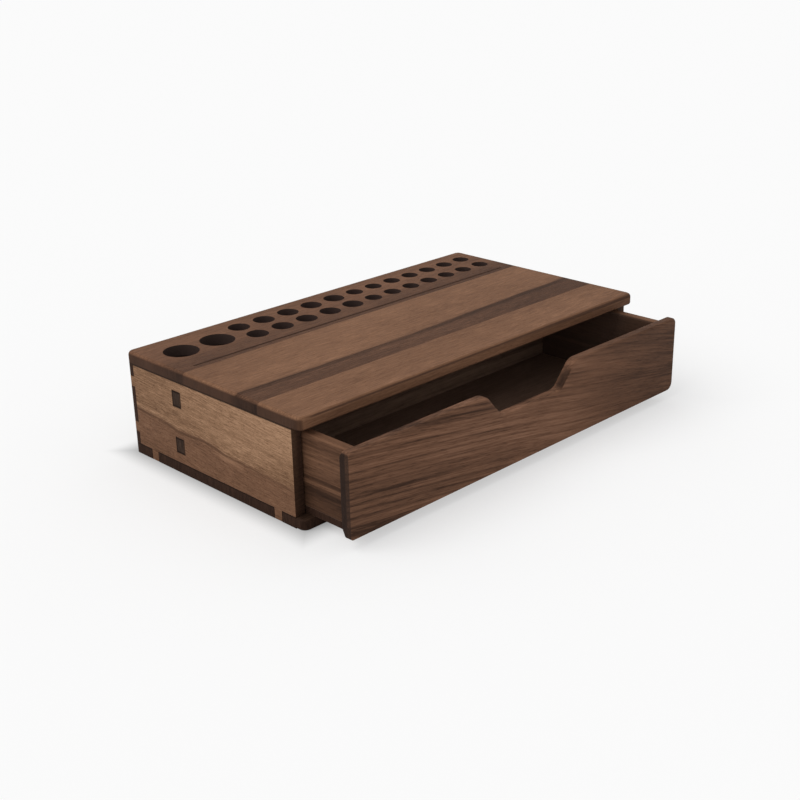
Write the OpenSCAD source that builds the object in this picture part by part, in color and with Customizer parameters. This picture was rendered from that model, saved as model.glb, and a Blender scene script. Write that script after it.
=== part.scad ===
// Desk organizer in walnut: a low case with rows of pen holes in its top and one shallow drawer.
// The origin is the centre of the case's bottom face, +Z is up, and the drawer opens towards -Y.

/* [Case] */
// Width of the case, left to right
case_w = 300; // [270:1:360]
// Depth of the case, front to back
case_d = 162; // [150:1:200]
// Height of the case, desk to top face
case_h = 67; // [60:1:90]
// Radius of the case's corners, seen from above
corner_r = 4.5; // [3.5:0.5:6]
// Round on the top face's outer edge
top_round = 2.5; // [1:0.5:3]
// Soft edge on the rims of the top and bottom that overhang the drawer front
rim_round = 1.2; // [0.4:0.2:1.6]

/* [Boards] */
// Thickness of the laser-cut boards
board_t = 6.8; // [5.4:0.2:8]
// Thickness of the glued top
top_t = 7.5; // [6.5:0.5:10]
// Thickness of the drawer's floor
floor_t = 4.5; // [3:0.5:6]
// Clearance on each face of a finger, tab or tenon
joint_gap = 0.15; // [0.05:0.05:0.25]

/* [Joinery] */
// Width of a finger or tab
tab_w = 6.5; // [5:0.5:9]
// Height of a partition tenon
tenon_h = 10; // [7:0.5:12]
// Height between the upper and lower finger or tenon
joint_pitch = 30.2; // [24:0.2:32]
// Distance of a side's bottom tabs from the front and back of the case
tab_inset = 19; // [14:1:26]
// Distance of the back's outer bottom tabs from the case's ends
back_tab_inset = 40; // [25:1:60]

/* [Top boards] */
// Distance from the partition forward to the back board's glue line
glue_lead = 5.1; // [2:0.1:8]
// Depth of the front board
front_board_d = 35; // [25:1:45]
// Width of the card groove
groove_w = 2; // [1.4:0.2:3]
// Depth of the card groove
groove_depth = 3.5; // [2:0.5:4.5]
// Distance from the groove to the back board's glue line
groove_inset = 4.9; // [2:0.1:7]
// Distance from the groove's ends to the case's ends
groove_margin = 11.7; // [8:0.1:20]

/* [Pen holes] */
// Diameter of the large holes
large_d = 22.4; // [20:0.2:24]
// Diameter of the medium holes
medium_d = 14.4; // [12:0.2:15]
// Diameter of the small holes
small_d = 12; // [9:0.5:12.5]
// Large holes, in one row
large_count = 2; // [1:1:2]
// Medium holes in each of two rows
medium_count = 5; // [2:1:5]
// Small holes in each of two rows
small_count = 7; // [3:1:7]
// Wood left between two large holes
large_bridge = 5; // [4:0.5:6]
// Wood left between the first hole and the case's left end
hole_margin = 11.3; // [9:0.1:13]
// Wood left between the last hole and the case's right end
end_margin = 9.7; // [8:0.1:13]
// Distance between the two rows
row_pitch = 19; // [17:0.5:20]

/* [Pen compartment] */
// Depth of the compartment under the pen holes, between the partition and the back
pen_bay_d = 40; // [36:0.5:60]

/* [Drawer] */
// How far the drawer stands open at rest
rest_open = 35.7; // [0:0.1:80]
// Running gap under the drawer
run_gap = 0.3; // [0.2:0.1:0.8]
// Gap between the drawer's sides and the case
side_gap = 1; // [0.5:0.1:2]
// Gap between the closed drawer and the case's sides and partition
close_gap = 0.3; // [0.2:0.1:1]
// Distance from the ends of the drawer front to the case's outer faces
front_margin = 1.7; // [0.5:0.1:4]
// Gap above the drawer front
front_top_gap = 2.2; // [1:0.1:4]
// Step from the top of the drawer front down to the walls
wall_drop = 1.8; // [0.5:0.1:4]
// Radius of the front's lower corners
front_low_r = 5; // [2.5:0.5:7]
// Radius of the front's upper corners
front_high_r = 2.5; // [2:0.5:3]
// Round on the top edges of the drawer's front and walls
wall_round = 1.5; // [0.5:0.1:1.8]

/* [Finger notch] */
// Width of the notch along its floor
notch_w = 53; // [40:1:80]
// Depth of the notch
notch_depth = 16; // [12:0.5:22]
// Slope of the notch's ends, in degrees
notch_slope = 48.5; // [35:0.5:60]
// Radius where the notch's floor turns into its slopes
notch_floor_r = 8; // [4:0.5:10]
// Radius of the shoulders above the slopes
notch_shoulder_r = 9; // [4:0.5:12]

/* [Hidden] */
$fn = 72;

// Overrun of every cut past the face that it opens
over = 1;

// Edges of the case
left_x = -case_w / 2;
right_x = case_w / 2;
front_y = -case_d / 2;
back_y = case_d / 2;

// The sides stand back so that the closed drawer front lies flush with the overhanging rims
setback = board_t + close_gap;
side_y = front_y + setback;

// Faces inside the case
under_top_z = case_h - top_t;
on_bottom_z = board_t;
inner_h = under_top_z - on_bottom_z;
inner_w = case_w - 2 * board_t;
inner_back_y = back_y - board_t;
partition_back_y = inner_back_y - pen_bay_d;
partition_front_y = partition_back_y - board_t;

// Heights of the two fingers or tenons on an upright
joint_mid_z = on_bottom_z + inner_h / 2;
joint_zs = [joint_mid_z - joint_pitch / 2, joint_mid_z + joint_pitch / 2];

// Places of the bottom tabs: along Y on the sides, along X on the back
side_tab_ys = [front_y + tab_inset + tab_w / 2, back_y - tab_inset - tab_w / 2];
back_tab_xs = [left_x + back_tab_inset, 0, right_x - back_tab_inset];

// Glue lines of the top
back_glue_y = partition_front_y - glue_lead;
front_glue_y = front_y + front_board_d;
groove_y = back_glue_y + groove_inset;

// Pen rows stand in the middle of the pen compartment
pen_y = (partition_back_y + inner_back_y) / 2;
row_ys = [pen_y - row_pitch / 2, pen_y + row_pitch / 2];
// Wood left between the other holes, which share what is left of the case's width
row_wood = case_w - hole_margin - end_margin - (large_count - 1) * large_bridge
  - large_count * large_d - medium_count * medium_d - small_count * small_d;
hole_bridge = row_wood / (medium_count + small_count);
large_pitch = large_d + large_bridge;
medium_pitch = medium_d + hole_bridge;
small_pitch = small_d + hole_bridge;
large_x = left_x + hole_margin + large_d / 2;
medium_x = large_x + (large_count - 1) * large_pitch + large_d / 2 + hole_bridge + medium_d / 2;
small_x = medium_x + (medium_count - 1) * medium_pitch + medium_d / 2 + hole_bridge + small_d / 2;

// Drawer, at its rest position
drawer_y = side_y - close_gap - board_t - rest_open;
drawer_z = on_bottom_z + run_gap;
box_front_y = drawer_y + board_t;
box_d = partition_front_y - side_y;
box_back_y = box_front_y + box_d;
box_w = inner_w - 2 * side_gap;
wall_z = drawer_z + floor_t;
front_top_z = under_top_z - front_top_gap;
front_h = front_top_z - drawer_z;
wall_top_z = front_top_z - wall_drop;
wall_h = wall_top_z - wall_z;
front_w = case_w - 2 * front_margin;
drawer_joint_mid_z = wall_z + wall_h / 2;
drawer_joint_zs = [drawer_joint_mid_z - joint_pitch / 2, drawer_joint_mid_z + joint_pitch / 2];

// Finger notch: where its slopes meet its floor and the front's top edge
notch_floor_x = notch_w / 2;
notch_top_x = notch_floor_x + notch_depth / tan(notch_slope);
notch_floor_z = front_h - notch_depth;
// Length along each line from the sharp corner to where its arc begins
floor_tangent = notch_floor_r * tan(notch_slope / 2);
shoulder_tangent = notch_shoulder_r * tan(notch_slope / 2);
floor_arc_x = notch_floor_x - floor_tangent;
shoulder_arc_x = notch_top_x + shoulder_tangent;
// Steps of the drawer front's corners and notch arcs
corner_steps = 8;
notch_steps = 16;

// Flat shape with round corners, standing on the middle of its plan
module round_plan(w, d, r) {
  square([w - 2 * r, d], center = true);
  square([w, d - 2 * r], center = true);
  for (x = [-1, 1], y = [-1, 1])
    translate([x * (w / 2 - r), y * (d / 2 - r)])
      circle(r);
}

// Waste outside a rounded edge, with the sharp edge at the origin and wood towards -X and -Y
module edge_waste(r) {
  translate([-r, -r])
    difference() {
      square(r + over);
      circle(r);
    }
}

// Waste along a straight edge that runs towards +Z, wood towards -X and -Y
module straight_waste(r, length) {
  linear_extrude(length)
    edge_waste(r);
}

// Waste all round the upper edge of a plate with round corners
module rim_waste(w, d, r_plan, r) {
  for (turn = [0, 180]) {
    rotate([0, 0, turn])
      translate([-w / 2 + r_plan, d / 2, 0])
        rotate([90, 0, 90])
          straight_waste(r, w - 2 * r_plan);
    rotate([0, 0, turn])
      translate([w / 2, d / 2 - r_plan, 0])
        rotate([90, 0, 0])
          straight_waste(r, d - 2 * r_plan);
  }
  for (x = [0, 1], y = [0, 1])
    mirror([x, 0, 0])
      mirror([0, y, 0])
        translate([w / 2 - r_plan, d / 2 - r_plan, 0])
          rotate_extrude(angle = 90)
            translate([r_plan, 0])
              edge_waste(r);
}

// The case's outline from above, as tall as asked
module case_block(z, h) {
  translate([0, 0, z])
    linear_extrude(h)
      round_plan(case_w, case_d, corner_r);
}

// The part of a rim that overhangs the drawer front
module overhang_zone() {
  translate([left_x - over, front_y - over, -over])
    cube([case_w + 2 * over, setback + over, case_h + 2 * over]);
}

// The glued top before its holes are cut
module top_blank() {
  difference() {
    case_block(under_top_z, top_t);
    translate([0, 0, case_h])
      rim_waste(case_w, case_d, corner_r, top_round);
    intersection() {
      translate([0, 0, under_top_z])
        mirror([0, 0, 1])
          rim_waste(case_w, case_d, corner_r, rim_round);
      overhang_zone();
    }
  }
}

// A strip of the top between two glue lines
module top_strip(y_from, y_to) {
  intersection() {
    top_blank();
    translate([left_x - over, y_from, under_top_z - over])
      cube([case_w + 2 * over, y_to - y_from, top_t + 2 * over]);
  }
}

// A row of round cutters through the top
module hole_row(count, first_x, pitch, y, d) {
  for (i = [0 : count - 1])
    translate([first_x + i * pitch, y, under_top_z - over])
      cylinder(d = d, h = top_t + 2 * over);
}

module top_back_board() {
  color("#8a624c")
    difference() {
      top_strip(back_glue_y, back_y + over);
      hole_row(large_count, large_x, large_pitch, pen_y, large_d);
      for (y = row_ys) {
        hole_row(medium_count, medium_x, medium_pitch, y, medium_d);
        hole_row(small_count, small_x, small_pitch, y, small_d);
      }
      translate([left_x + groove_margin, groove_y - groove_w / 2, case_h - groove_depth])
        cube([case_w - 2 * groove_margin, groove_w, groove_depth + over]);
    }
}

module top_middle_board() {
  color("#c08e6c")
    top_strip(front_glue_y, back_glue_y);
}

module top_front_board() {
  color("#cf9d78")
    top_strip(front_y - over, front_glue_y);
}

// Tabs at the foot of a side, let into the edge of the bottom panel
module side_tabs(gap) {
  for (y = side_tab_ys)
    translate([left_x - over, y - tab_w / 2 - gap, -over])
      cube([board_t + gap + over, tab_w + 2 * gap, board_t + 2 * over]);
}

// Tabs at the foot of the back, let into the edge of the bottom panel
module back_tabs(gap) {
  for (x = back_tab_xs)
    translate([x - tab_w / 2 - gap, inner_back_y - gap, -over])
      cube([tab_w + 2 * gap, board_t + gap + over, board_t + 2 * over]);
}

// Fingers at the back of both sides, which pass through the ends of the back
module side_fingers(gap) {
  for (z = joint_zs)
    translate([left_x - over, inner_back_y - over, z - tab_w / 2 - gap])
      cube([case_w + 2 * over, board_t + 2 * over, tab_w + 2 * gap]);
}

// Tenons of the partition, which pass through both sides
module partition_tenons(gap) {
  for (z = joint_zs)
    translate([left_x - gap, partition_front_y - gap, z - tenon_h / 2 - gap])
      cube([case_w + 2 * gap, board_t + 2 * gap, tenon_h + 2 * gap]);
}

// The left side board
module side_board() {
  difference() {
    intersection() {
      case_block(0, under_top_z);
      union() {
        translate([left_x, side_y, on_bottom_z])
          cube([board_t, inner_back_y - side_y, inner_h]);
        intersection() {
          side_fingers(0);
          translate([left_x, inner_back_y - over, on_bottom_z])
            cube([board_t, board_t + 2 * over, inner_h]);
        }
        intersection() {
          side_tabs(0);
          translate([left_x, front_y, 0])
            cube([board_t, case_d, on_bottom_z + over]);
        }
      }
    }
    partition_tenons(joint_gap);
  }
}

module left_side() {
  color("#d0a77e")
    side_board();
}

module right_side() {
  color("#d0a77e")
    mirror([1, 0, 0])
      side_board();
}

module back_panel() {
  color("#b98d6b")
    intersection() {
      case_block(0, under_top_z);
      union() {
        difference() {
          translate([left_x, inner_back_y, on_bottom_z])
            cube([case_w, board_t, inner_h]);
          intersection() {
            side_fingers(joint_gap);
            union() {
              translate([left_x - over, inner_back_y - over, 0])
                cube([board_t + joint_gap + over, board_t + 2 * over, case_h]);
              translate([right_x - board_t - joint_gap, inner_back_y - over, 0])
                cube([board_t + joint_gap + over, board_t + 2 * over, case_h]);
            }
          }
        }
        intersection() {
          back_tabs(0);
          translate([left_x, inner_back_y, 0])
            cube([case_w, board_t, on_bottom_z + over]);
        }
      }
    }
}

module bottom_panel() {
  color("#a97c5e")
    difference() {
      case_block(0, board_t);
      side_tabs(joint_gap);
      mirror([1, 0, 0])
        side_tabs(joint_gap);
      back_tabs(joint_gap);
      intersection() {
        union() {
          translate([0, 0, board_t])
            rim_waste(case_w, case_d, corner_r, rim_round);
          mirror([0, 0, 1])
            rim_waste(case_w, case_d, corner_r, rim_round);
        }
        overhang_zone();
      }
    }
}

module partition() {
  color("#a97c5e") {
    translate([left_x + board_t, partition_front_y, on_bottom_z])
      cube([inner_w, board_t, inner_h]);
    partition_tenons(0);
  }
}

// Points of an arc about a centre, between two angles
function arc(x, y, r, from, to, steps) = [
  for (i = [0 : steps])
    let (a = from + (to - from) * i / steps)
      [x + r * cos(a), y + r * sin(a)]
];

// The right half of the drawer front's outline, from its lower edge round to the notch's floor
front_half = concat(
  arc(front_w / 2 - front_low_r, front_low_r, front_low_r, -90, 0, corner_steps),
  arc(front_w / 2 - front_high_r, front_h - front_high_r, front_high_r, 0, 90, corner_steps),
  arc(shoulder_arc_x, front_h - notch_shoulder_r, notch_shoulder_r, 90, 90 + notch_slope, notch_steps),
  arc(floor_arc_x, notch_floor_z + notch_floor_r, notch_floor_r, notch_slope - 90, -90, notch_steps)
);

// The same points mirrored to the left, in the order that carries the outline on
front_other_half = [
  for (i = [len(front_half) - 1 : -1 : 0])
    [-front_half[i][0], front_half[i][1]]
];

module drawer_front() {
  color("#b98565")
    translate([0, drawer_y, drawer_z])
      difference() {
        translate([0, board_t, 0])
          rotate([90, 0, 0])
            linear_extrude(board_t)
              polygon(concat(front_half, front_other_half));
        translate([-front_w / 2, board_t, front_h])
          rotate([0, 0, -90])
            wall_edge_waste(front_w);
      }
}

// Fingers at the back of the drawer's sides, which pass through the ends of the drawer's back
module drawer_fingers(gap) {
  for (z = drawer_joint_zs)
    translate([-box_w / 2 - over, box_back_y - board_t - over, z - tab_w / 2 - gap])
      cube([box_w + 2 * over, board_t + 2 * over, tab_w + 2 * gap]);
}

// Rounds both upper edges of a drawer wall that runs along Y and whose outer face is at the origin
module wall_edge_waste(length) {
  for (face = [0, 1])
    translate([face * board_t, length + over, 0])
      mirror([1 - face, 0, 0])
        rotate([90, 0, 0])
          straight_waste(wall_round, length + 2 * over);
}

// The drawer's left side, which stands on the floor
module drawer_side_board() {
  difference() {
    union() {
      translate([-box_w / 2, box_front_y, wall_z])
        cube([board_t, box_d - board_t, wall_h]);
      intersection() {
        drawer_fingers(0);
        translate([-box_w / 2, box_front_y, wall_z])
          cube([board_t, box_d, wall_h]);
      }
    }
    translate([-box_w / 2, box_front_y, wall_top_z])
      wall_edge_waste(box_d - board_t);
  }
}

module drawer_left_side() {
  color("#c4946f")
    drawer_side_board();
}

module drawer_right_side() {
  color("#c4946f")
    mirror([1, 0, 0])
      drawer_side_board();
}

module drawer_back() {
  color("#a97c5e")
    difference() {
      translate([-box_w / 2, box_back_y - board_t, wall_z])
        cube([box_w, board_t, wall_h]);
      intersection() {
        drawer_fingers(joint_gap);
        union() {
          translate([-box_w / 2 - over, box_back_y - board_t - over, 0])
            cube([board_t + joint_gap + over, board_t + 2 * over, case_h]);
          translate([box_w / 2 - board_t - joint_gap, box_back_y - board_t - over, 0])
            cube([board_t + joint_gap + over, board_t + 2 * over, case_h]);
        }
      }
      translate([-box_w / 2, box_back_y, wall_top_z])
        rotate([0, 0, -90])
          wall_edge_waste(box_w);
    }
}

module drawer_floor() {
  color("#94694f")
    translate([-box_w / 2, box_front_y, drawer_z])
      cube([box_w, box_d, floor_t]);
}

top_back_board();
top_middle_board();
top_front_board();
left_side();
right_side();
back_panel();
bottom_panel();
partition();
drawer_front();
drawer_left_side();
drawer_right_side();
drawer_back();
drawer_floor();
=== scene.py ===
# %% [markdown]
# # A walnut desk organizer
# The real object is a low case of laser-cut walnut boards. Its glued top has two large holes and two rows
# of smaller ones for pens, and one shallow drawer stands a little way open.
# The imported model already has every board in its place, so most boards only need their wood. The drawer
# front is built again, with the soft edge that sanding leaves. Then come the floor, the light and the
# camera.

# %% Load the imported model
import math
from collections import namedtuple

import bmesh
import bpy
from mathutils import Matrix, Vector


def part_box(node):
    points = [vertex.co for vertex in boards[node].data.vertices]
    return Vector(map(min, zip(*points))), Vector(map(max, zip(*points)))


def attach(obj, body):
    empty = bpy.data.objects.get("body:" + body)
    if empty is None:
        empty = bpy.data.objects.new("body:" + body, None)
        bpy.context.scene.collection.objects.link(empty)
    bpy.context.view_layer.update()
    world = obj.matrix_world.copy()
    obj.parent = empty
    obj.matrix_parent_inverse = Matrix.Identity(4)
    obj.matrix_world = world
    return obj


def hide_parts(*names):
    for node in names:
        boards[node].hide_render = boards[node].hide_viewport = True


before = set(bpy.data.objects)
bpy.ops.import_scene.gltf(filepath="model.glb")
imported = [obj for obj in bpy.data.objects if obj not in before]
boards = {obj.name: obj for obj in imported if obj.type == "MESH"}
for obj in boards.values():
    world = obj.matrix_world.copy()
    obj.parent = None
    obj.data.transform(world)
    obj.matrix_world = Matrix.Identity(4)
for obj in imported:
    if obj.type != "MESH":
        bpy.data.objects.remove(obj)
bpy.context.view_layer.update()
print("boards:", ", ".join(sorted(boards)))

# %% [markdown]
# ## Where things are
# All patterns below are placed in millimetres from the centre of the case's bottom, as in the model.
# The glue lines and the edges could be typed in as numbers. They are measured on the boards instead, so
# that the wood stays in its place if a size changes.

# %% Places on the case
MM = 1000.0


def box_mm(name):
    """The lowest and the highest corner of a board, in millimetres."""
    low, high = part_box(name)
    return low * MM, high * MM


case_low, case_high = box_mm("bottom_panel")
top_low, top_high = box_mm("top_front_board")
middle_low, middle_high = box_mm("top_middle_board")
back_glue_y = middle_high.y
front_glue_y = middle_low.y
front_y = case_low.y
print("the front is at y", round(front_y, 1))
print("the glue lines are at y", round(front_glue_y, 1), "and", round(back_glue_y, 1))

# %% [markdown]
# ## Maths on surfaces
# A finish is a net of shader nodes. Written out node by node it is hard to read, so one small class
# stands for a number that varies over the surface. Adding or multiplying two of them adds the Math node.

# %% A number that varies over a surface
class Field:
    """One number that varies over a surface. Sums and products of fields add Math nodes."""

    def __init__(self, sheet, socket):
        self.sheet = sheet
        self.socket = socket

    def maths(self, operation, *values):
        return self.sheet.node("ShaderNodeMath", {"operation": operation}, values).field()

    def __add__(self, other):
        return self.maths("ADD", self, other)

    def __sub__(self, other):
        return self.maths("SUBTRACT", self, other)

    def __rsub__(self, other):
        return self.maths("SUBTRACT", other, self)

    def __mul__(self, other):
        return self.maths("MULTIPLY", self, other)

    def __truediv__(self, other):
        return self.maths("DIVIDE", self, other)

    __radd__ = __add__
    __rmul__ = __mul__

    def size(self):
        """The number without its sign."""
        return self.maths("ABSOLUTE", self)

    def wave(self):
        return self.maths("SINE", self)

    def most(self, other):
        """The larger of two numbers."""
        return self.maths("MAXIMUM", self, other)

    def rise(self, low, high):
        """0 below low and 1 above high, with a soft change between them. It falls where low is above high."""
        kinds = {"interpolation_type": "SMOOTHSTEP"}
        ends = {"Value": self, "From Min": min(low, high), "From Max": max(low, high)}
        field = self.sheet.node("ShaderNodeMapRange", kinds, ends).field()
        return 1 - field if low > high else field

    def near(self, place, width):
        """1 at a place and for three tenths of the width beside it, and 0 beyond the width."""
        return (self - place).size().rise(width, width * 0.3)

    def between(self, a, b):
        """a where this field is 0, b where it is 1."""
        return a + (b - a) * self


# %% [markdown]
# ## One sheet of nodes for each finish
# Every finish starts from the same inputs: the place on the board in millimetres, and the way the
# surface faces, which tells a board's face from its sawn ends. Both are read in the object's own
# coordinates, so the figure stays on the drawer when it slides.

# %% A node that has just been made
class Made:
    """A node, and short ways to its outputs."""

    def __init__(self, sheet, node):
        self.sheet = sheet
        self.node = node

    def out(self, key):
        return self.node.outputs[key]

    def field(self):
        return Field(self.sheet, self.node.outputs[0])


def set_stops(ramp, stops):
    """Sets a colour ramp's stops, each a place from 0 to 1 and a colour."""
    while len(ramp.elements) < len(stops):
        ramp.elements.new(0.5)
    for element, (place, colour) in zip(ramp.elements, stops):
        element.position = place
        element.color = colour


# %% The node tree of one finish
# The Mix node has a set of sockets for each kind of value. These are its sockets for colours.
MIX_SHARE = 0
MIX_FIRST = 6
MIX_SECOND = 7
MIX_RESULT = 2


class Sheet:
    """A material and the fields that it starts from."""

    def __init__(self, name):
        self.material = bpy.data.materials.new(name)
        self.material.use_nodes = True
        self.tree = self.material.node_tree
        self.shader = self.tree.nodes["Principled BSDF"]
        place = self.node("ShaderNodeTexCoord")
        self.x, self.y, self.z = self.split(place.out("Object"), MM)
        self.nx, self.ny, self.nz = self.split(place.out("Normal"), 1.0)

    def node(self, kind, settings=None, values=()):
        """Adds a node: its type, its settings, and the values or links of its sockets."""
        made = self.tree.nodes.new(kind)
        for name, value in (settings or {}).items():
            if name == "stops":
                set_stops(made.color_ramp, value)
            else:
                setattr(made, name, value)
        pairs = values.items() if isinstance(values, dict) else enumerate(values)
        for key, value in pairs:
            self.plug(made.inputs[key], value)
        return Made(self, made)

    def plug(self, socket, value):
        if isinstance(value, Field):
            value = value.socket
        if isinstance(value, bpy.types.NodeSocket):
            self.tree.links.new(value, socket)
        else:
            socket.default_value = value

    def split(self, vector, scale):
        """The three parts of a vector as fields, each times the scale."""
        scaled = self.node("ShaderNodeVectorMath", {"operation": "SCALE"}, {0: vector, "Scale": scale})
        parts = self.node("ShaderNodeSeparateXYZ", {}, [scaled.out(0)])
        return [Field(self, parts.out(i)) for i in range(3)]

    def noise(self, x, y, z, detail=2.0, roughness=0.5):
        """Cloudy noise around 0, mostly between -1 and 1."""
        where = self.node("ShaderNodeCombineXYZ", {}, [x, y, z])
        values = {"Vector": where.out(0), "Scale": 1.0, "Detail": detail, "Roughness": roughness}
        return (self.node("ShaderNodeTexNoise", {}, values).field() - 0.5) * 4

    def ramp(self, field, stops):
        return self.node("ShaderNodeValToRGB", {"stops": stops}, [field]).out("Color")

    def mix(self, share, a, b):
        """Colour a where the share is 0, colour b where it is 1."""
        values = {MIX_SHARE: share, MIX_FIRST: a, MIX_SECOND: b}
        return self.node("ShaderNodeMix", {"data_type": "RGBA"}, values).out(MIX_RESULT)

    def finish(self, colour, roughness, height, depth_mm, shine):
        bump = self.node("ShaderNodeBump", {}, {"Strength": 1.0, "Distance": depth_mm / MM, "Height": height})
        self.plug(self.shader.inputs["Base Color"], colour)
        self.plug(self.shader.inputs["Roughness"], roughness)
        self.plug(self.shader.inputs["Normal"], bump.out("Normal"))
        self.shader.inputs["Specular IOR Level"].default_value = shine
        return self.material


# %% [markdown]
# ## Colours
# Colours are written as a picture editor shows them, from 0 to 255. Blender works with light itself,
# so each one is turned into the amount of light that it stands for.

# %% From picture values to light
def tone(red, green, blue):
    """A colour as light. The numbers in it are those of the sRGB standard."""
    def light(value):
        share = value / 255
        return share / 12.92 if share <= 0.04045 else ((share + 0.055) / 1.055) ** 2.4

    return (light(red), light(green), light(blue), 1.0)


print("half grey, 128, is", round(tone(128, 128, 128)[0], 3), "of full light")

# %% [markdown]
# ## Walnut
# Planed walnut shows four things at different scales: slow clouds of tone, growth rings that wander
# along the board, fine fibres, and short dark flecks. A picture of wood could be wrapped round each
# board, but it would break at every edge. Here each of the four is a noise that is stretched along the
# grain and fills the board's whole thickness, so a line on a face carries on over the edge.

# %% The tone of walnut at a point of a board
Grain = namedtuple("Grain", "tone fibre fleck")


def walnut(sheet, along, across, through, look):
    """The grain of a board, from the distances along, across and through it in mm."""
    seed, fine, long = look["seed"], look["fine"], look["long"]
    bend = sheet.noise(along * 0.007 + seed, across * 0.02, through * 0.05, detail=1.0) * look["wander"]
    line = across + along * look["lean"] + through * look["tilt"] + bend
    rings = sheet.noise(along * look["run"] + seed, line / look["spacing"], through * 0.02, 3.0, 0.7)
    fibre = sheet.noise(along * long, line * fine + seed, through * fine, detail=3.0, roughness=0.75)
    finer_line = line * fine * 2 + seed
    fleck = sheet.noise(along * long * 5, finer_line, through * fine * 2, detail=1.0).rise(0.0, 1.0)
    cloud = sheet.noise(along * 0.012, across * 0.035 + seed, through * 0.05, detail=1.0)
    shade = rings * look["rings"] + fibre * look["fibre"] + cloud * look["cloud"] - fleck * look["fleck"]
    return Grain(0.5 + shade, fibre, fleck)


def wood_colour(sheet, amount, look):
    """The base colour of a board, from dark at 0 to light at 1."""
    return sheet.ramp(amount, [(0.0, look["dark"]), (0.5, look["mid"]), (1.0, look["light"])])


# %% What one board looks like
# Lean and tilt are the slopes of the rings along and through the board. Wander is how far they bend, and
# spacing how far apart they lie, in mm. Run is how often they change in 1 mm along the grain. Fine and
# long count the fibres in 1 mm across and along it. The last four say how strongly each part shows.
PLAIN_LOOK = {
    "lean": 0.0, "tilt": 0.35, "wander": 3.0, "spacing": 14.0, "run": 0.004, "fine": 0.8, "long": 0.05,
    "rings": 0.18, "fibre": 0.26, "cloud": 0.08, "fleck": 0.14,
}


def look_of(tones, seed, **changes):
    """The look of one board: its tones, the seed of its noises, and what differs from the plain look."""
    look = dict(PLAIN_LOOK, seed=seed)
    look.update({key: tone(*value) for key, value in tones.items()})
    look.update(changes)
    return look


print("a look has", ", ".join(PLAIN_LOOK))

# %% [markdown]
# ## Burnt edges
# Edges that the laser cut and nobody sanded are charred: nearly black, with fine lines from one face of
# the board to the other. The laser has also left a black line round each slot.
# The charred faces could have a material of their own. A mask within the board's own finish does the
# same, and it can also fade, or follow a line where no face ends.

# %% Charred cuts
CHAR = tone(32, 21, 16)
CHAR_BROWN = tone(66, 46, 36)


def char(sheet, colour, where, along_edge, through, light=CHAR_BROWN):
    """Chars a colour where a mask says so, with streaks across the edge."""
    streak = sheet.noise(along_edge * 0.9, through * 0.12, 0.0, detail=3.0, roughness=0.65)
    burnt = sheet.ramp(0.5 + streak * 0.4, [(0.0, CHAR), (1.0, light)])
    return sheet.mix(where, colour, burnt)


def rim_of(u, v, low_u, high_u, low_v, high_v):
    """Distance outwards from a rectangle on a face, in mm. It is below 0 inside."""
    off_u = (u - (low_u + high_u) / 2).size() - (high_u - low_u) / 2
    off_v = (v - (low_v + high_v) / 2).size() - (high_v - low_v) / 2
    return off_u.most(off_v)


def facing(normal_part):
    """1 where a surface faces along an axis, from the part of its normal on that axis."""
    return normal_part.size().rise(0.5, 0.9)


# %% The skin of the wood
PORE_DEPTH_MM = 0.05
OIL_SHINE = 0.04


def surface(sheet, colour, grain, roughness=0.55):
    """Closes a wood finish: open pores are rougher and lie a little deeper than the fibres."""
    rough = roughness + grain.fibre * 0.05 + grain.fleck * 0.12
    height = grain.fibre * 0.25 - grain.fleck
    return sheet.finish(colour, rough, height, PORE_DEPTH_MM, OIL_SHINE)


# %% [markdown]
# ## The top
# Three boards are glued edge to edge. The back one is darker, with a darker band along its front where
# the card groove lies. The middle one is pale and turns dark before it meets the pale front board.
# The ends have drunk more oil than the faces and are dark, with upright lines. They are darkest where
# the middle board's face is dark, and just behind the back glue line. A fine dark line runs along the
# upper edge in front.
# The dark bands could be boards of their own. On the real top they fade within a board, so each is a
# mask that is written as a distance from a glue line.

# %% Colours of the three top boards
PALE = {"dark": (92, 64, 47), "mid": (123, 89, 67), "light": (153, 114, 87)}
DUSKY = {"dark": (54, 37, 28), "mid": (84, 59, 45), "light": (114, 82, 63)}
BACK = {"dark": (74, 51, 38), "mid": (106, 75, 57), "light": (134, 97, 74)}
OILED_END = {"dark": (42, 29, 23), "mid": (74, 52, 40), "light": (112, 83, 63)}
HOLE_WALL = tone(64, 51, 47)
# Painted light: the groove's walls are paler than the wood, against the shade in the narrow groove.
GROOVE_PAINTED_LIGHT = tone(112, 88, 76)


# %% Ends and front edge of the top
def behind(y, glue_y, full, gone):
    """1 from a glue line back to a distance behind it, from where it fades until it is gone."""
    return y.rise(glue_y, glue_y + 0.3) * y.rise(glue_y + gone, glue_y + full)


def top_ends(sheet, colour, seed):
    """The oiled ends of the top."""
    y, z = sheet.y, sheet.z
    lines = sheet.noise(y * 1.2, z * 0.12, sheet.x * 0.1, detail=3.0, roughness=0.7)
    patch = sheet.noise(y * 0.09 + seed, z * 0.05, 0.0)
    front_block = behind(y, front_glue_y, full=15, gone=25)
    back_block = behind(y, back_glue_y, full=4, gone=30)
    amount = 0.37 + lines * 0.12 + patch * 0.07 - front_block * 0.28 - back_block * 0.20
    oiled = wood_colour(sheet, amount, look_of(OILED_END, seed))
    below_rim = z.rise(top_high.z - 0.5, top_high.z - 2.0)
    return sheet.mix(sheet.nx.size().rise(0.2, 0.6) * below_rim, colour, oiled)


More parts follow.
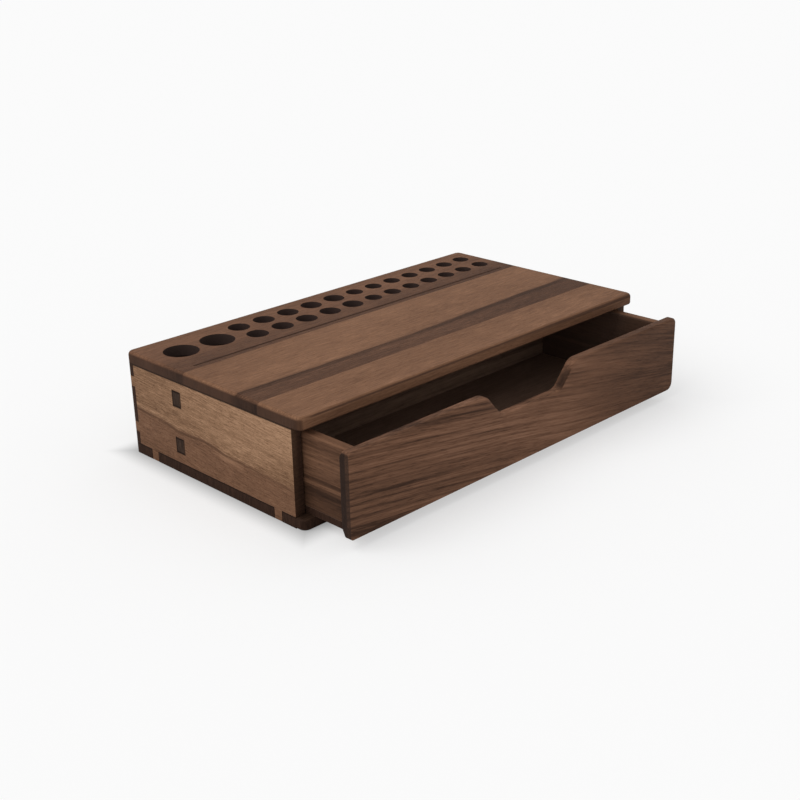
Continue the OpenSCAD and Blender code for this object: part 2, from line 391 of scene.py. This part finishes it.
def top_front_edge(sheet, colour, deep):
    """Darkens the front edge of the top. The dark line on it widens towards the right."""
    x, z = sheet.x, sheet.z
    edge = sheet.y.rise(front_y + 3, front_y + 1.5) * sheet.ny.rise(-0.12, -0.4)
    line = z.near(top_high.z - 1.1, 0.7).most(x.rise(-60, 140) * z.near(top_high.z - 1.5, 1.3))
    colour = sheet.mix(edge * 0.4, colour, deep)
    return sheet.mix(edge * line * x.rise(case_low.x + 4, case_low.x + 12) * 0.8, colour, CHAR_BROWN)


# %% Walls of the holes and the groove, and the underside
def top_cuts(sheet, colour):
    """Upright faces inside the top's outline are walls of holes, or of the groove in front of them. The
    groove's walls are brown, and painted paler as painted light against the shade in the narrow groove.
    """
    in_length = sheet.x.size().rise(case_high.x - 1, case_high.x - 2)
    in_depth = sheet.y.rise(case_high.y - 1, case_high.y - 2) * sheet.y.rise(front_y + 5, front_y + 6)
    cut_walls = sheet.nz.size().rise(0.7, 0.4) * in_length * in_depth
    behind_groove = sheet.y.rise(back_glue_y + 8, back_glue_y + 9)
    colour = sheet.mix(cut_walls, colour, sheet.mix(behind_groove, GROOVE_PAINTED_LIGHT, HOLE_WALL))
    under = sheet.nz.size().rise(0.9, 0.5) * sheet.z.rise(top_low.z + 0.7, top_low.z + 0.3)
    return sheet.mix(under * 0.8, colour, CHAR)


# %% The dark bands of the back and the middle board
def groove_band(sheet):
    """The back board is dark from its glue line to a little past the groove, and further at the right."""
    rightness = sheet.x.rise(-40, 130)
    edge = sheet.y + sheet.noise(sheet.x * 0.02, sheet.y * 0.05, sheet.z * 0.05) * 1.2 - rightness * 2.0
    deeper = edge.rise(back_glue_y + 12.0, back_glue_y) * 0.1 - 0.2 + rightness * 0.14
    return edge.rise(back_glue_y + 21.5, back_glue_y + 16.0), deeper


def front_band(sheet):
    """The middle board turns dark in front. The change is soft, bowed, and darkest where it starts.

    Towards the left the part behind the edge is paler, and a thin line marks the edge itself.
    """
    x = sheet.x
    to_the_end = x / case_high.x
    bow = to_the_end * to_the_end * 3.2 + x * 0.0105 + x.near(75, 60) * 1.4
    wobble = sheet.noise(x * 0.025, sheet.y * 0.03, sheet.z * 0.05) * 0.6
    depth = bow + wobble + (front_glue_y + 18.8) - sheet.y
    thin_line = depth.near(1.3, 1.5) * x.rise(0, -110) * 0.30
    deeper = depth.near(2.8, 3.4) * 0.24 + thin_line + x.rise(-40, 110).between(-0.12, 0.04)
    return depth.rise(-1.6, 2.2), deeper


# %% Finishes of the three top boards
def top_finish(name, seed, tones, dusk=None):
    """A top board. dusk gives the mask of its dark part and how much deeper it is, from the sheet."""
    sheet = Sheet(name)
    look = look_of(tones, seed, spacing=24.0, fine=1.0, long=0.06, rings=0.14, fibre=0.44, fleck=0.22)
    grain = walnut(sheet, sheet.x, sheet.y, sheet.z, look)
    front_right = sheet.x.rise(0, 140) * sheet.y.rise(front_y + 32, front_y + 6)
    rear = sheet.y.rise(case_high.y - 26, case_high.y - 11)
    colour = wood_colour(sheet, grain.tone - front_right * 0.15 + rear * 0.07, look)
    if dusk:
        mask, deep = dusk(sheet)
        colour = sheet.mix(mask, colour, wood_colour(sheet, grain.tone - deep, look_of(DUSKY, seed)))
    colour = top_ends(sheet, colour, seed)
    colour = top_front_edge(sheet, colour, look["dark"])
    return surface(sheet, top_cuts(sheet, colour), grain)


top_back = top_finish("walnut_top_back", 3.1, BACK, groove_band)
top_middle = top_finish("walnut_top_middle", 11.7, PALE, front_band)
top_front = top_finish("walnut_top_front", 23.4, PALE)
print("top finishes:", top_back.name, top_middle.name, top_front.name)

# %% [markdown]
# ## The sides
# The left side is cut where sapwood meets heartwood: tan above, brown below, with a dark line between
# them that climbs towards the back, and bright streaks beside it. Short dark flecks cover the tan part.
# A cloud of noise would put that seam anywhere. Here it is a height that is worked out along the board,
# and how far a point lies above it chooses between the two woods.

# %% Where the partition's tenons come through
def end_heights(name):
    """The heights of the corners on a board's left end, from the lowest up."""
    corners = [vertex.co * MM for vertex in boards[name].data.vertices]
    end = min(corner.x for corner in corners)
    return sorted({round(corner.z, 1) for corner in corners if corner.x < end + 0.1})


side_high = box_mm("left_side")[1]
tenon_low, tenon_high = box_mm("partition")
tenon_heights = end_heights("partition")
TENONS = list(zip(tenon_heights[0::2], tenon_heights[1::2]))
print("the tenons' heights on each side, lower and upper:", TENONS)

# %% The seam between sapwood and heartwood
TAN = {"dark": (86, 61, 44), "mid": (127, 96, 72), "light": (164, 129, 101)}
BROWN = {"dark": (72, 50, 36), "mid": (107, 77, 58), "light": (135, 101, 78)}


def above_seam(sheet, back, seed, seam_z, climb):
    """The height above the seam in mm. The seam climbs towards the back, and waves on its way."""
    wobble = sheet.noise(sheet.y * 0.03 + seed, sheet.z * 0.05, sheet.x * 0.05) * 0.7
    dip = ((back - 75) / 8.0).wave() * back.near(95, 48) * 1.3
    return sheet.z - seam_z - back * climb - dip - wobble


def two_woods(sheet, back, height, grain, tan, brown):
    """Tan above the seam and brown below it, with a bright streak above it and a bright patch below."""
    streak = height.near(2.4, 2.0) * back.rise(92, 108)
    patch = (sheet.z - 18.6 - back * 0.075).near(0.0, 2.6) * back.near(64, 17)
    glow = streak * 0.24 + back.rise(150, 20) * 0.28 + sheet.z.rise(34, 50) * 0.14
    dim_middle = sheet.z.rise(37, 24) * back.rise(85, 40) * 0.16
    dim_front = sheet.z.rise(46, 28) * back.rise(48, 12) * 0.24
    upper = wood_colour(sheet, grain.tone + glow - (dim_middle + dim_front) - 0.10, tan)
    lower = wood_colour(sheet, grain.tone * 0.8 + patch * 0.46 + 0.12, brown)
    return sheet.mix((height + grain.fibre * 1.2).rise(-2.4, 3.4), lower, upper)


# %% Finishes of the side boards
def side_finish(name, seed, seam_z, climb):
    """A side board. Its front and back edges are charred, and so are the rims of the tenons' slots."""
    sheet = Sheet(name)
    back = sheet.y - front_y
    tan = look_of(
        TAN, seed, lean=-0.06, wander=4.0, spacing=11.0, fine=1.2, long=0.10, fibre=0.48, fleck=0.40,
    )
    brown = look_of(BROWN, seed)
    grain = walnut(sheet, sheet.y, sheet.z, sheet.x, tan)
    height = above_seam(sheet, back, seed, seam_z, climb)
    colour = two_woods(sheet, back, height, grain, tan, brown)
    seam = height.near(-0.7, 1.2) * sheet.noise(sheet.y * 0.05 + seed, sheet.z * 0.1, 0.0).rise(-1.6, 0.0)
    colour = sheet.mix(seam * back.rise(20, 75).between(0.2, 0.6), colour, brown["dark"])
    for low_z, high_z in TENONS:
        rim = rim_of(sheet.y, sheet.z, tenon_low.y, tenon_high.y, low_z + 0.6, high_z - 0.6)
        colour = sheet.mix(rim.rise(1.1, 0.6), colour, CHAR)
    under_top = sheet.z.rise(side_high.z - 0.8, side_high.z - 0.3) * facing(sheet.nx)
    colour = sheet.mix(under_top * 0.9, colour, CHAR)
    inner = sheet.x.size().rise(case_high.x - 1.5, case_high.x - 5.0)
    colour = char(sheet, colour, facing(sheet.ny) * inner.between(0.86, 0.98), sheet.z, sheet.x)
    return surface(sheet, colour, grain)


left_wood = side_finish("walnut_left_side", 41.0, seam_z=22.3, climb=0.062)
right_wood = side_finish("walnut_right_side", 57.0, seam_z=33.0, climb=-0.03)
print("side finishes:", left_wood.name, right_wood.name)

# %% [markdown]
# ## The other case boards
# The bottom and the back show their charred edges on the side faces, with fine black lines where the
# laser cut deepest. The partition shows only its tenons there, whose ends are grey-brown, and darker in
# their highest and lowest millimetre.
# All three are the same walnut with other marks, but the bottom's tones are darker: painted shade for its
# front rim under the drawer. So one function makes them, and two small masks tell it where the char and
# the black go.

# %% Places of the black lines
def foot_ends(name):
    """Where the tabs at a board's foot begin and end along Y."""
    corners = [vertex.co * MM for vertex in boards[name].data.vertices]
    return sorted({round(corner.y, 1) for corner in corners if corner.z < 0.1})


back_low = box_mm("back_panel")[0]
foot_places = foot_ends("left_side")
print("the tabs of a side begin and end at y", foot_places)


# %% Masks of the char and the black lines
def all_edges(sheet):
    """1 on every upright edge."""
    return sheet.nz.size().rise(0.6, 0.3)


def ends(sheet):
    """1 on the left and the right end."""
    return facing(sheet.nx)


def tenon_tips(sheet):
    """1 on a board's ends, outside the inner part of each tenon."""
    share = ends(sheet)
    for low_z, high_z in TENONS:
        half = (high_z - low_z) / 2
        share = share * (sheet.z - (low_z + high_z) / 2).size().rise(half - 1.4, half - 0.6)
    return share


def foot_lines(sheet):
    """The black line along the upper rim of the bottom's edges, and beside each tab on the side faces."""
    beside = ends(sheet) * 0.0
    for place in foot_places:
        beside = beside.most(ends(sheet) * sheet.y.near(place, 0.9))
    return (all_edges(sheet) * sheet.z.rise(case_high.z - 1.0, case_high.z - 0.4)).most(beside) * 0.8


def back_lines(sheet):
    """The black line along the inner rim of the back's ends."""
    return ends(sheet) * sheet.y.rise(back_low.y + 1.0, back_low.y + 0.4) * 0.8


# %% Finishes of the bottom, the back and the partition
# Painted shade: the bottom is darker than the walnut of the other boards, for its rim under the drawer.
BOTTOM_PAINTED_SHADE = {"dark": (34, 24, 18), "mid": (54, 38, 29), "light": (78, 56, 43)}
TENON_END = tone(72, 56, 46)


def case_finish(name, seed, tones, burnt, black, light=CHAR_BROWN):
    """A case board with grain along X. burnt gives the mask of its charred edges, black of what is black."""
    sheet = Sheet(name)
    look = look_of(tones, seed)
    grain = walnut(sheet, sheet.x, sheet.y + sheet.z * 0.7, sheet.z, look)
    colour = wood_colour(sheet, grain.tone, look)
    colour = char(sheet, colour, burnt(sheet), sheet.y + sheet.x, sheet.z, light)
    colour = sheet.mix(black(sheet), colour, CHAR)
    return surface(sheet, colour, grain, 0.6)


# The bottom gets the tones of painted shade.
bottom_wood = case_finish("walnut_bottom", 61.0, BOTTOM_PAINTED_SHADE, all_edges, foot_lines)
back_wood = case_finish("walnut_back", 67.0, BROWN, ends, back_lines)
partition_wood = case_finish("walnut_partition", 71.0, BROWN, ends, tenon_tips, light=TENON_END)
print("case finishes:", bottom_wood.name, back_wood.name, partition_wood.name)

# %% [markdown]
# ## The wood of the drawer front
# The front has the liveliest figure: growth rings that fall towards the right end, close and sharp on
# the left, wide and faint on the right. At the lower right they fall a little less. Its ends and one
# slope of the notch keep some of the char.
# One noise can't be both close and wide. So there are two walnuts on the same bent height, and the left
# one fades into the right one along the board. A wave on that height adds a few bold rings.

# %% Rings of the drawer front
RUST = {"dark": (62, 43, 33), "mid": (109, 78, 60), "light": (143, 106, 84)}
RING_LEAN = 0.172


def ring_height(x, z):
    """The height that the rings follow. It bends down to the right, but less at the lower right."""
    level_part = (x - 40.0).most(0.0) * z.rise(34.0, 10.0) * 0.05
    return z + x * x * 0.00012 - level_part


def bold_rings(sheet, fall, seed):
    """How much darker the few bold rings are. They come and go along the board."""
    x = sheet.x
    wander = sheet.noise(x * 0.006 + seed, fall * 0.03, 0.0, detail=1.0) * 0.8
    ring = fall + x * RING_LEAN + sheet.y * 0.35 + wander
    stripe = (ring * 1.35 + sheet.noise(x * 0.003, ring * 0.12 + seed, 0.0) * 1.8).wave().rise(0.1, 1.0)
    bold = sheet.noise(x * 0.008 + seed, ring * 0.07, 0.0).rise(-0.9, 0.7).between(0.05, 0.24)
    return stripe * bold


def front_tone(sheet, amount):
    """The slow changes over the front: paler in the middle, darker to the right and low at the left."""
    x, z = sheet.x, sheet.z
    amount = amount + x.near(0.0, 125.0) * 0.14 - 0.11 - x.rise(35.0, 95.0) * 0.08
    amount = amount + x.near(10.0, 70.0) * z.rise(36.0, 12.0) * 0.10
    amount = amount - x.rise(20.0, 90.0) * z.near(28.0, 16.0) * 0.10
    return amount - x.rise(-40.0, -145.0) * z.rise(34.0, 10.0) * 0.08


# %% Char on the drawer front
END_CHAR = tone(52, 39, 33)

front_low, front_high = box_mm("drawer_front")
front_thick = front_high.y - front_low.y
print("the drawer front is", round(front_thick, 1), "mm thick")


def front_marks(sheet, colour):
    """The charred ends of the front, darkest at the rear, and a dark spot on the notch's right slope."""
    x, y, z = sheet.x, sheet.y, sheet.z
    end = sheet.nx.size().rise(0.6, 0.95) * x.size().rise(front_high.x - 6, front_high.x - 4)
    rear = y.rise(front_low.y + front_thick * 0.35, front_low.y + front_thick * 0.5)
    colour = char(sheet, colour, end * rear.between(0.78, 1.0), y * 2.0, z, END_CHAR)
    slope = sheet.nx.rise(0.0, -0.5) * sheet.nz.rise(0.0, 0.4) * x.rise(20.0, 24.0) * x.rise(60.0, 50.0)
    spot = slope * y.near(front_low.y + front_thick * 0.25, front_thick * 0.8) * x.near(31.5, 8.0)
    cloudy = sheet.noise(x * 0.15, y * 0.25, z * 0.15).rise(-1.4, 0.6)
    return sheet.mix(spot * cloudy.between(0.55, 0.85), colour, CHAR)


# %% Finish of the drawer front
def front_finish(name, seed):
    sheet = Sheet(name)
    fall = ring_height(sheet.x, sheet.z)
    sharp = look_of(
        RUST, seed, lean=RING_LEAN, wander=0.7, spacing=5.2, run=0.003,
        rings=0.36, fibre=0.30, long=0.028, fleck=0.19,
    )
    faint = look_of(
        RUST, seed, lean=RING_LEAN, wander=2.0, spacing=12.0, run=0.002, rings=0.13, fibre=0.22, long=0.03,
    )
    left = walnut(sheet, sheet.x, fall, sheet.y, sharp)
    right = walnut(sheet, sheet.x, fall, sheet.y, faint)
    share = sheet.x.rise(-20.0, 100.0)
    amount = share.between(left.tone, right.tone)
    amount = amount - bold_rings(sheet, fall, seed) * share.between(1.0, 0.4)
    amount = front_tone(sheet, amount)
    colour = front_marks(sheet, wood_colour(sheet, amount, sharp))
    return surface(sheet, colour, Grain(amount, left.fibre, left.fleck))


front_wood = front_finish("walnut_drawer_front", 83.0)
print("front finish:", front_wood.name)

# %% [markdown]
# ## The wood of the drawer's box
# Its side walls are darker than the front, and its back wall is painted paler, as painted light for the
# dim inside of the drawer. All have a pale line between two dark ones, nearly level, as if they were cut
# from one plank.
# In the photograph the inside of the drawer is one even dark. Here the open part would catch more light
# and the part in the bay less, and a lamp can't be dimmed in one place. So the inner faces of the side
# walls are painted darker in front and paler behind.

# %% Finishes of the drawer's walls
UMBER = {"dark": (48, 33, 25), "mid": (80, 56, 42), "light": (116, 84, 64)}
# Painted light: the back wall's tones are pale, for the dim inside of the drawer.
BACK_WALL_PAINTED_LIGHT = {"dark": (98, 78, 65), "mid": (137, 112, 95), "light": (164, 137, 117)}
BAY_PAINTED_SHADE = tone(46, 36, 31)
BAY_PAINTED_LIGHT = tone(104, 86, 76)
DARK_LINE_Z = 29.3
PALE_LINE_Z = 26.4
LOW_LINE_Z = 22.0


def wall_tone(sheet, grain, along):
    """The tone of a wall, with its three lines, a paler upper edge and a darker foot."""
    rise = sheet.z + along * 0.01
    amount = grain.tone - rise.near(DARK_LINE_Z, 1.3) * 0.36
    amount = amount + rise.near(PALE_LINE_Z, 1.7) * 0.44 - rise.near(LOW_LINE_Z, 2.6) * 0.28
    amount = amount + sheet.nz.rise(0.4, 0.8) * 0.25
    return amount + rise.rise(32.0, 37.0) * 0.2 - rise.rise(19.0, 15.0) * 0.1


def wall_finish(name, seed, tones, turned):
    """A wall of the drawer. turned says that its grain runs along Y, and gives its inner face painted shade
    in front and painted light behind.
    """
    sheet = Sheet(name)
    look = look_of(tones, seed, rings=0.26, spacing=9.0, wander=1.2)
    along, through, end = (sheet.y, sheet.x, sheet.ny) if turned else (sheet.x, sheet.y, sheet.nx)
    grain = walnut(sheet, along, sheet.z, through, look)
    colour = wood_colour(sheet, wall_tone(sheet, grain, along), look)
    if turned:
        # X and the normal's X have opposite signs on a face that looks towards the middle.
        inside = (sheet.x * sheet.nx).rise(-40, -100)
        # Painted shade in front and painted light deep in the bay, on the inner face.
        bay = sheet.mix(sheet.y.rise(front_y - 12, front_y + 16), BAY_PAINTED_SHADE, BAY_PAINTED_LIGHT)
        colour = sheet.mix(inside * 0.7, colour, bay)
    colour = char(sheet, colour, end.size().rise(0.7, 0.95) * 0.85, sheet.z, through)
    return surface(sheet, colour, grain, 0.6)


left_wall_wood = wall_finish("walnut_drawer_left", 89.0, UMBER, turned=True)
right_wall_wood = wall_finish("walnut_drawer_right", 97.0, UMBER, turned=True)
back_wall_wood = wall_finish("walnut_drawer_back", 101.0, BACK_WALL_PAINTED_LIGHT, turned=False)
print("wall finishes:", left_wall_wood.name, right_wall_wood.name, back_wall_wood.name)

# %% Finish of the drawer's floor
# Painted light: the floor's tones are pale, for the dim inside of the drawer.
DRAWER_FLOOR_PAINTED_LIGHT = {"dark": (86, 67, 56), "mid": (118, 94, 80), "light": (144, 117, 101)}


def floor_finish(name, seed):
    """The drawer's floor, whose charred edge shows below the walls."""
    sheet = Sheet(name)
    look = look_of(DRAWER_FLOOR_PAINTED_LIGHT, seed, spacing=20.0, rings=0.14)
    grain = walnut(sheet, sheet.x, sheet.y, sheet.z, look)
    colour = wood_colour(sheet, grain.tone, look)
    colour = char(sheet, colour, all_edges(sheet), sheet.x + sheet.y, sheet.z)
    return surface(sheet, colour, grain, 0.6)


floor_wood = floor_finish("walnut_drawer_floor", 107.0)
print("floor finish:", floor_wood.name)

# %% Give each board its wood
WOODS = {
    "top_back_board": top_back, "top_middle_board": top_middle, "top_front_board": top_front,
    "left_side": left_wood, "right_side": right_wood, "back_panel": back_wood,
    "bottom_panel": bottom_wood, "partition": partition_wood,
    "drawer_left_side": left_wall_wood, "drawer_right_side": right_wall_wood,
    "drawer_back": back_wall_wood, "drawer_floor": floor_wood, "drawer_front": front_wood,
}
for name, wood in WOODS.items():
    boards[name].data.materials.clear()
    boards[name].data.materials.append(wood)
print(len(WOODS), "boards finished")

# %% [markdown]
# ## Eased edges
# Sandpaper takes the sharpness off every edge. On the plain boards a narrow bevel does this, and leaves
# a fine line where two boards meet. The model itself could have it, but a modifier eases nine boards
# with one function. The top's boards already have their round rim, and their glue lines stay closed.

# %% Bevels on the plain boards
CASE_EDGE_MM = 0.2
WALL_EDGE_MM = 0.5
PLAIN = ["left_side", "right_side", "back_panel", "bottom_panel", "partition", "drawer_floor"]
WALLS = ["drawer_left_side", "drawer_right_side", "drawer_back"]


def ease(name, width_mm):
    board = boards[name]
    weld = board.modifiers.new("joined_corners", "WELD")
    weld.merge_threshold = 0.01 / MM
    bevel = board.modifiers.new("eased_edges", "BEVEL")
    bevel.width = width_mm / MM
    bevel.segments = 2
    bevel.limit_method = "ANGLE"
    bevel.angle_limit = math.radians(50)


for name in PLAIN:
    ease(name, CASE_EDGE_MM)
for name in WALLS:
    ease(name, WALL_EDGE_MM)
print("eased", len(PLAIN) + len(WALLS), "boards")

# %% [markdown]
# ## The drawer front
# Sanding has rounded the upper edge of the front all the way through the finger notch. In the packed
# model only the straight runs are round. A wide bevel can fold over itself where the notch bends, so the
# front is lofted here. Its outline is drawn once, and pulled in a little more at each step towards a face.

# %% Sizes of the drawer front, in millimetres
NOTCH = {"half_floor": 26.5, "depth": 16.0, "slope": 48.5, "floor_r": 8.0, "shoulder_r": 9.0}
FRONT_EDGE_R = 1.4
REAR_EDGE_R = 2.0
LOW_R = 5.0
LOW_LEFT_R = 1.5
LOW_LEFT_REAR_R = 6.5
HIGH_R = 2.2
FRONT_H = front_high.z - front_low.z
SMOOTH_BELOW_DEGREES = 35
print("the front is", round(FRONT_H, 1), "mm high, and its notch", NOTCH["depth"], "mm deep")


# %% Outline of the drawer front
def arc(x, z, r, start, stop, steps):
    """Points on an arc round a centre, from one angle in degrees to another."""
    turns = [math.radians(start + (stop - start) * i / steps) for i in range(steps + 1)]
    return [(x + r * math.cos(a), z + r * math.sin(a)) for a in turns]


def half_outline(inset, low_r):
    """The right half of the outline from the bottom up, with its upper edge pulled in by the inset."""
    slope = NOTCH["slope"]
    half = math.tan(math.radians(slope / 2))
    floor_z = FRONT_H - NOTCH["depth"]
    top_x = NOTCH["half_floor"] + NOTCH["depth"] / math.tan(math.radians(slope))
    shoulder_x = top_x + NOTCH["shoulder_r"] * half
    shoulder_z = FRONT_H - NOTCH["shoulder_r"]
    floor_x = NOTCH["half_floor"] - NOTCH["floor_r"] * half
    return (
        arc(front_high.x - low_r, low_r, low_r, -90, 0, steps=10)
        + arc(front_high.x - HIGH_R, FRONT_H - inset - HIGH_R, HIGH_R, 0, 90, steps=8)
        + arc(shoulder_x, shoulder_z, NOTCH["shoulder_r"] - inset, 90, 90 + slope, steps=14)
        + arc(floor_x, floor_z + NOTCH["floor_r"], NOTCH["floor_r"] + inset, slope - 90, -90, steps=14)
    )


def round_edge(radius, steps=6):
    """Depths below a face, with the inset of the outline at each, round a quarter circle."""
    turns = [math.radians(90 * i / steps) for i in range(steps + 1)]
    return [(radius * (1 - math.cos(a)), radius * (1 - math.sin(a))) for a in turns]


# %% Loft of the drawer front
def front_rings(mesh):
    """One ring of points for each step from the front face to the rear one.

    The lower left corner is nearly square in front and much rounder at the back, as the photograph shows.
    """
    levels = round_edge(FRONT_EDGE_R)
    levels += [(front_thick - depth, inset) for depth, inset in reversed(round_edge(REAR_EDGE_R))]
    rings = []
    for depth, inset in levels:
        rear_share = max(0.0, 1 - (front_thick - depth) / REAR_EDGE_R)
        left_r = LOW_LEFT_R + (LOW_LEFT_REAR_R - LOW_LEFT_R) * rear_share
        left = [(-x, z) for x, z in reversed(half_outline(inset, left_r))]
        points = [(x, front_low.y + depth, front_low.z + z) for x, z in half_outline(inset, LOW_R) + left]
        rings.append([mesh.verts.new(Vector(point) / MM) for point in points])
    return rings


def front_piece():
    """Joins the rings with faces, and closes the first and the last."""
    mesh = bmesh.new()
    rings = front_rings(mesh)
    count = len(rings[0])
    for near, far in zip(rings, rings[1:]):
        for i in range(count):
            j = (i + 1) % count
            mesh.faces.new((near[i], near[j], far[j], far[i]))
    mesh.faces.new(rings[0])
    mesh.faces.new(rings[-1])
    bmesh.ops.recalc_face_normals(mesh, faces=mesh.faces)
    for face in mesh.faces:
        face.smooth = True
    for edge in mesh.edges:
        edge.smooth = edge.calc_face_angle() < math.radians(SMOOTH_BELOW_DEGREES)
    data = bpy.data.meshes.new("drawer_front_sanded")
    mesh.to_mesh(data)
    mesh.free()
    piece = bpy.data.objects.new("drawer_front_sanded", data)
    bpy.context.scene.collection.objects.link(piece)
    return piece


front = front_piece()
front.data.materials.append(front_wood)
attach(front, "drawer")
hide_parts("drawer_front")
print("drawer front:", len(front.data.polygons), "faces")

# %% [markdown]
# ## The floor
# The photograph has a white floor that runs up into a white background, and very soft shadows.
# A floor that is only lit comes out grey, and more light would bleach the wood. So the camera sees part
# of the floor as a plain glow, and the rest of it still takes the shadow. A narrow shadow is also painted
# into the white round the foot of the case.

# %% White of the floor
FLOOR_WHITE = 0.93
PAINTED_SHADOW_STARTS_MM = 16.0
PAINTED_SHADOW_FULL_MM = -6.0


def floor_material(seen_share, glow_level, painted_foot_shadow):
    """White, of which the camera sees a share as a plain glow.

    A shadow is painted round the case: the white is dimmed by painted_foot_shadow from 6 mm inside the
    foot of the case, and by less and less up to 16 mm outside it.
    """
    sheet = Sheet("pale_floor")
    away = rim_of(sheet.x, sheet.y, case_low.x, case_high.x, case_low.y, case_high.y)
    # Painted shadow: the white and its glow are darker round the foot of the case.
    level = 1 - away.rise(PAINTED_SHADOW_STARTS_MM, PAINTED_SHADOW_FULL_MM) * painted_foot_shadow
    white = sheet.node("ShaderNodeCombineColor", {}, [level * FLOOR_WHITE] * 3).out(0)
    sheet.plug(sheet.shader.inputs["Base Color"], white)
    sheet.shader.inputs["Roughness"].default_value = 0.9
    sheet.shader.inputs["Specular IOR Level"].default_value = 0.0
    glow_white = sheet.node("ShaderNodeCombineColor", {}, [level] * 3).out(0)
    glow = sheet.node("ShaderNodeEmission", {}, {"Color": glow_white, "Strength": glow_level})
    camera_ray = Field(sheet, sheet.node("ShaderNodeLightPath").out("Is Camera Ray"))
    layers = [camera_ray * seen_share, sheet.shader.outputs[0], glow.out(0)]
    both = sheet.node("ShaderNodeMixShader", {}, layers)
    sheet.plug(sheet.tree.nodes["Material Output"].inputs["Surface"], both.out(0))
    return sheet.material


# %% The floor itself
def flat_floor(material, reach_m):
    """A square floor that reaches so many metres from its middle."""
    corners = [(-reach_m, -reach_m, 0), (reach_m, -reach_m, 0), (reach_m, reach_m, 0), (-reach_m, reach_m, 0)]
    data = bpy.data.meshes.new("floor")
    data.from_pydata(corners, [], [(0, 1, 2, 3)])
    data.materials.append(material)
    floor = bpy.data.objects.new("floor", data)
    bpy.context.scene.collection.objects.link(floor)
    return floor


floor = flat_floor(floor_material(seen_share=0.5, glow_level=1.015, painted_foot_shadow=0.52), reach_m=12.0)
print("the floor is finished in", floor.data.materials[0].name)

# %% [markdown]
# ## The light
# The object looks lit from all around, and a little more from the left and behind, so that the top and
# the left side are brighter than the drawer front. Many lamps could do that. A pale sky gives the even
# part with one value, and one broad sun the rest. Its width keeps the shadows soft.

# %% Sky and lamp
def sky(level, seen_level):
    """A white sky. It lights the object at one level, and the camera sees it at another."""
    world = bpy.data.worlds.new("pale_sky")
    world.use_nodes = True
    bpy.context.scene.world = world
    tree = world.node_tree
    background = tree.nodes["Background"]
    rays = tree.nodes.new("ShaderNodeLightPath")
    strength = tree.nodes.new("ShaderNodeMapRange")
    strength.inputs["To Min"].default_value = level
    strength.inputs["To Max"].default_value = seen_level
    tree.links.new(rays.outputs["Is Camera Ray"], strength.inputs["Value"])
    tree.links.new(strength.outputs[0], background.inputs["Strength"])
    background.inputs["Color"].default_value = (1.0, 1.0, 1.0, 1.0)
    return world


def lamp(name, towards, strength, width_degrees):
    data = bpy.data.lights.new(name, "SUN")
    data.energy = strength
    data.angle = math.radians(width_degrees)
    light = bpy.data.objects.new(name, data)
    light.rotation_euler = Vector(towards).to_track_quat("-Z", "Y").to_euler()
    bpy.context.scene.collection.objects.link(light)
    return light


world = sky(level=0.68, seen_level=0.965)
sun = lamp("broad_lamp", towards=(0.62, -0.22, -0.75), strength=1.25, width_degrees=50)
print("lit by", world.name, "and", sun.name)

# %% [markdown]
# ## The camera
# It stands before the left front corner, looks down by 22 degrees and leans by about one degree, as in
# the photograph. It could be placed by eye, but then every board would look a little wrong. So its place
# was found by matching the corners of the case, the top and the drawer.

# %% Camera
def camera(place_mm, heading, down, lean, lens):
    """A camera at a place, turned by three angles in degrees. At heading 0 it looks along Y."""
    a, e, r = (math.radians(v) for v in (heading, down, lean))
    ahead = Vector((math.sin(a) * math.cos(e), math.cos(a) * math.cos(e), -math.sin(e)))
    level = Vector((math.cos(a), -math.sin(a), 0))
    upright = level.cross(ahead)
    right = level * math.cos(r) + upright * math.sin(r)
    up = upright * math.cos(r) - level * math.sin(r)
    data = bpy.data.cameras.new("camera")
    data.sensor_width = 36.0
    data.lens = lens
    data.clip_end = 50.0
    made = bpy.data.objects.new("camera", data)
    turned = Matrix((right, up, -ahead)).transposed()
    made.matrix_world = Matrix.Translation(Vector(place_mm) / MM) @ turned.to_4x4()
    bpy.context.scene.collection.objects.link(made)
    return made


view = camera((-544.12, -556.94, 325.60), heading=44.59, down=21.99, lean=-1.22, lens=57.09)
bpy.context.scene.camera = view
bpy.context.scene.view_settings.view_transform = "Standard"
print("the camera's lens is", round(view.data.lens, 1), "mm")
